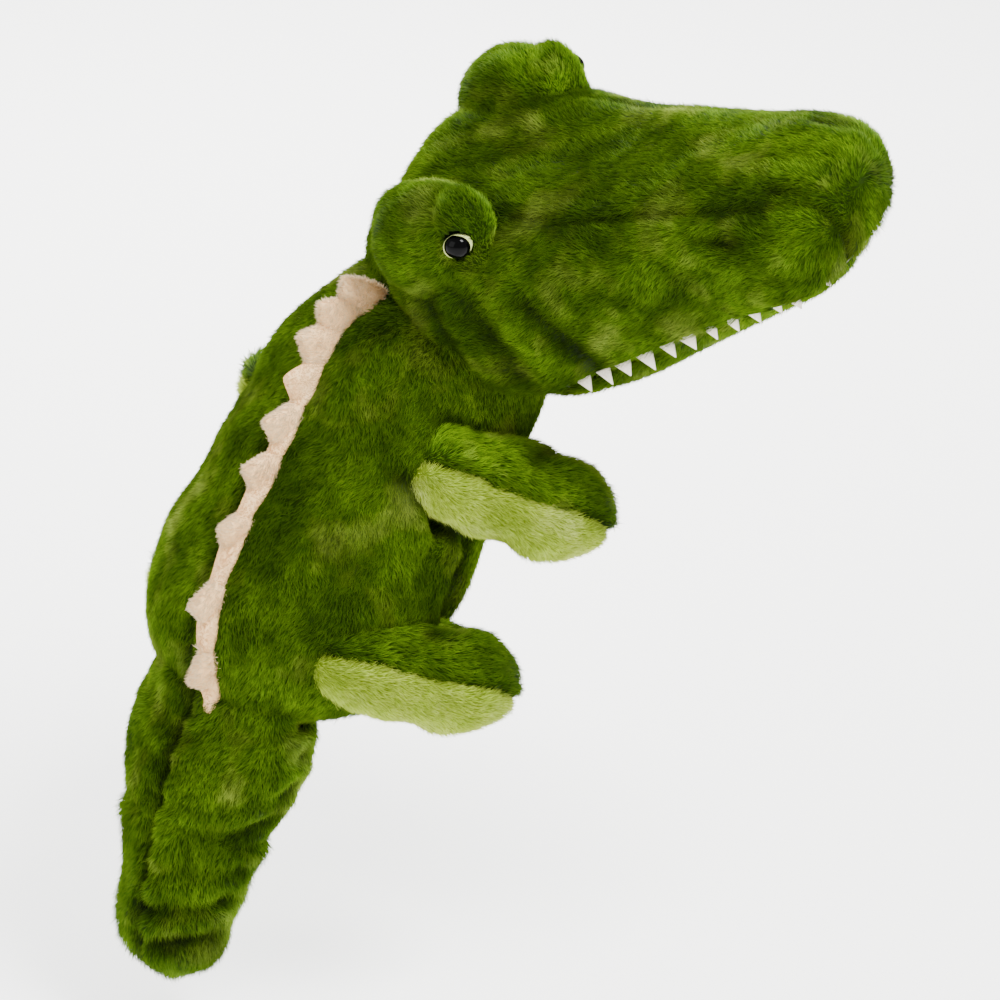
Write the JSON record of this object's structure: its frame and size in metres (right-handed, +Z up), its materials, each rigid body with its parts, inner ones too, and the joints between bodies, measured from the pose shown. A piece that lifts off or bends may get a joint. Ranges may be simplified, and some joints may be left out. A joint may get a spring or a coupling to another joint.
{
  "type": "hand puppet",
  "caption": "Plush crocodile hand puppet with a hinged mouth, turning and nodding head, swinging arms and legs, a jointed tail and a hand opening under the body.",
  "frame": {"origin": "middle of the hand opening under the body", "axes": "+X the way the belly faces, +Y the puppet's left, +Z up; the head rests turned to the puppet's right"},
  "size_m": [0.3249, 0.3353, 0.4391],
  "materials": {
    "plush_back": "long pile plush, dark leaf green",
    "plush_side": "long pile plush, leaf green",
    "plush_under": "short plush, pale lime",
    "plush_ridge": "short plush, pale peach cream",
    "felt_teeth": "pressed felt, off-white",
    "felt_eye": "pressed felt, cream",
    "lining": "woven lining, dark olive",
    "mouth_lining": "smooth woven cloth, dull red",
    "board": "stiff mouth board",
    "filling": "polyester filling",
    "eye_gloss": "polished black safety eye",
    "washer": "locking washer"
  },
  "bodies": {
    "torso": {"back_panel_left": "plush_back", "back_panel_right": "plush_back", "belly_panel": "plush_side", "torso_padding": "filling", "hand_sleeve": "lining", "opening_hem": "plush_under", "back_ridge": "plush_ridge"},
    "neck": {"neck_skin": "plush_side", "neck_lining": "lining"},
    "head": {"head_top_panel": "plush_back", "head_side_panel_right": "plush_side", "head_side_panel_left": "plush_side", "head_back_panel": "plush_back", "head_stuffing": "filling", "palate_lining": "mouth_lining", "upper_mouth_board": "board", "finger_pocket": "lining", "upper_teeth": "felt_teeth", "eye_mound_right": "plush_side", "eye_mound_left": "plush_side", "eyelid_right": "plush_side", "eyelid_left": "plush_side", "eye_backing_right": "felt_eye", "eye_backing_left": "felt_eye", "eye_right": "eye_gloss", "eye_left": "eye_gloss", "eye_washer_right": "washer", "eye_washer_left": "washer"},
    "lower_jaw": {"chin_panel": "plush_back", "lower_mouth_lining": "mouth_lining", "lower_mouth_board": "board", "thumb_pocket": "lining", "jaw_stuffing": "filling", "mouth_hinge_fold": "mouth_lining"},
    "arm_right": {"arm_right_top": "plush_back", "arm_right_under": "plush_under", "arm_right_stuffing": "filling"},
    "arm_left": {"arm_left_top": "plush_back", "arm_left_under": "plush_under", "arm_left_stuffing": "filling"},
    "leg_right": {"leg_right_top": "plush_back", "leg_right_sole": "plush_under", "leg_right_stuffing": "filling"},
    "leg_left": {"leg_left_top": "plush_back", "leg_left_sole": "plush_under", "leg_left_stuffing": "filling"},
    "tail_base": {"tail_base_skin": "plush_back", "tail_base_underside": "plush_side", "tail_base_stuffing": "filling"},
    "tail_tip": {"tail_tip_skin": "plush_back", "tail_tip_underside": "plush_side", "tail_tip_stuffing": "filling"}
  },
  "joints": [
    {"name": "neck_turn", "type": "hinge", "parent": "torso", "child": "neck", "pos_m": [0.09406, 0, 0.18591], "axis": [-0.3392, -0.0065, 0.9407], "range_deg": [-3, 75]},
    {"name": "head_nod", "type": "hinge", "parent": "neck", "child": "head", "pos_m": [0.09406, 0, 0.18591], "axis": [0.8709, 0.3759, 0.3166], "range_deg": [-8, 7]},
    {"name": "jaw_open", "type": "hinge", "parent": "head", "child": "lower_jaw", "pos_m": [0.1238, -0.05077, 0.16439], "axis": [0.8709, 0.3759, 0.3166], "range_deg": [0, 35]},
    {"name": "arm_right_swing", "type": "hinge", "parent": "torso", "child": "arm_right", "pos_m": [0.02059, -0.063, 0.11498], "axis": [0.4226, 0.9063, 0], "range_deg": [-15, 15]},
    {"name": "arm_left_swing", "type": "hinge", "parent": "torso", "child": "arm_left", "pos_m": [0.02059, 0.063, 0.11498], "axis": [-0.4226, 0.9063, 0], "range_deg": [-15, 15]},
    {"name": "leg_right_swing", "type": "hinge", "parent": "torso", "child": "leg_right", "pos_m": [-0.04356, -0.059, 0.0316], "axis": [0.4226, 0.9063, 0], "range_deg": [-15, 15]},
    {"name": "leg_left_swing", "type": "hinge", "parent": "torso", "child": "leg_left", "pos_m": [-0.04356, 0.059, 0.0316], "axis": [-0.4226, 0.9063, 0], "range_deg": [-15, 15]},
    {"name": "tail_swing", "type": "hinge", "parent": "torso", "child": "tail_base", "pos_m": [-0.068, 0, -0.006], "axis": [0, 1, 0], "range_deg": [-8, 40]},
    {"name": "tail_curl", "type": "hinge", "parent": "tail_base", "child": "tail_tip", "pos_m": [-0.093, 0, -0.066], "axis": [0, 1, 0], "range_deg": [-20, 35]}
  ]
}
